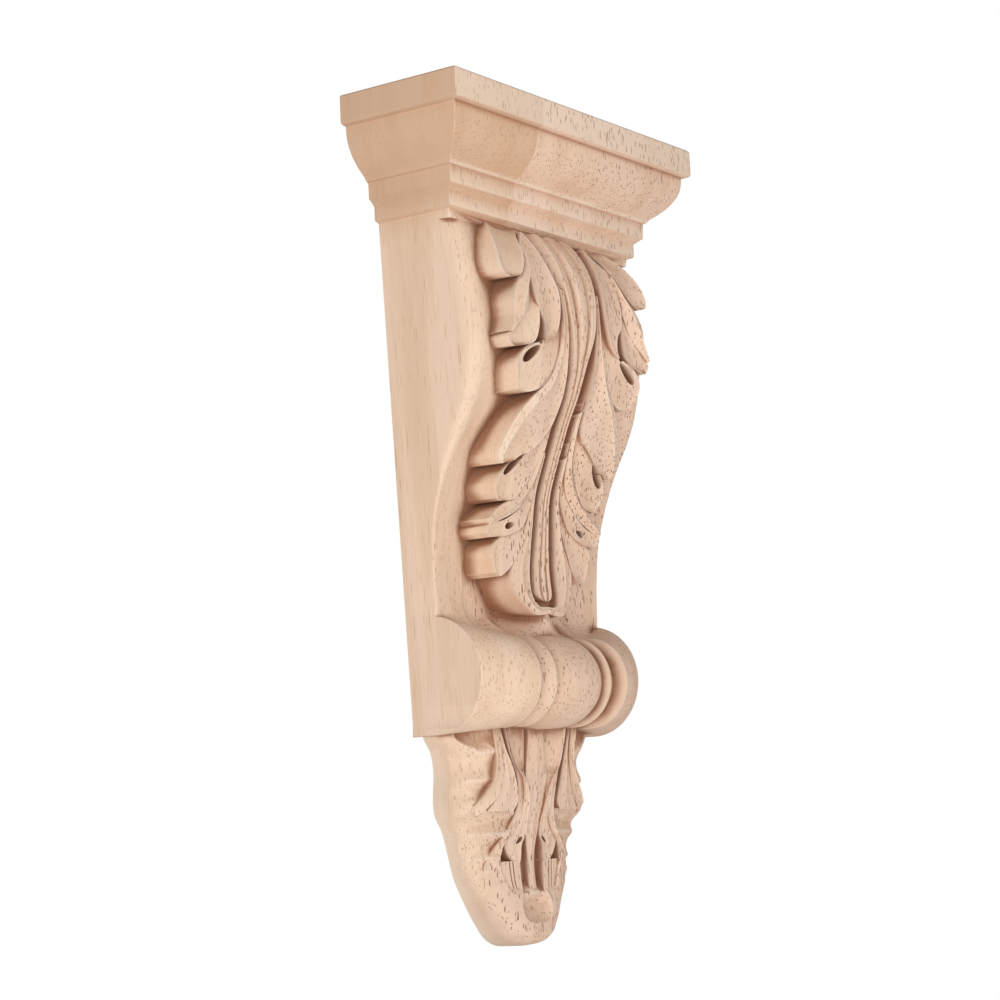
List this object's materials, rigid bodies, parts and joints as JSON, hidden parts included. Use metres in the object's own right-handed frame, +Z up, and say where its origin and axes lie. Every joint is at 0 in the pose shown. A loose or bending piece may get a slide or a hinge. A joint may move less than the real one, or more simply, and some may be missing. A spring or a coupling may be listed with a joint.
{
  "type": "corbel bracket",
  "caption": "Carved wooden corbel bracket with a moulded cap, an acanthus leaf over a tapering body, a scroll and a smaller leaf below it.",
  "frame": {"origin": "middle of the flat back face, where the corbel is fixed to the wall", "axes": "+Z up along the corbel's height; +X along the wall; the carved face looks along -Y and the flat back lies on Y = 0"},
  "size_m": [0.153, 0.0505, 0.3],
  "materials": {
    "raw_wood": "raw unfinished pale hardwood, sanded sides, carved front with open pores and fine tool marks"
  },
  "bodies": {
    "root": {"corbel": "raw_wood"}
  },
  "joints": []
}
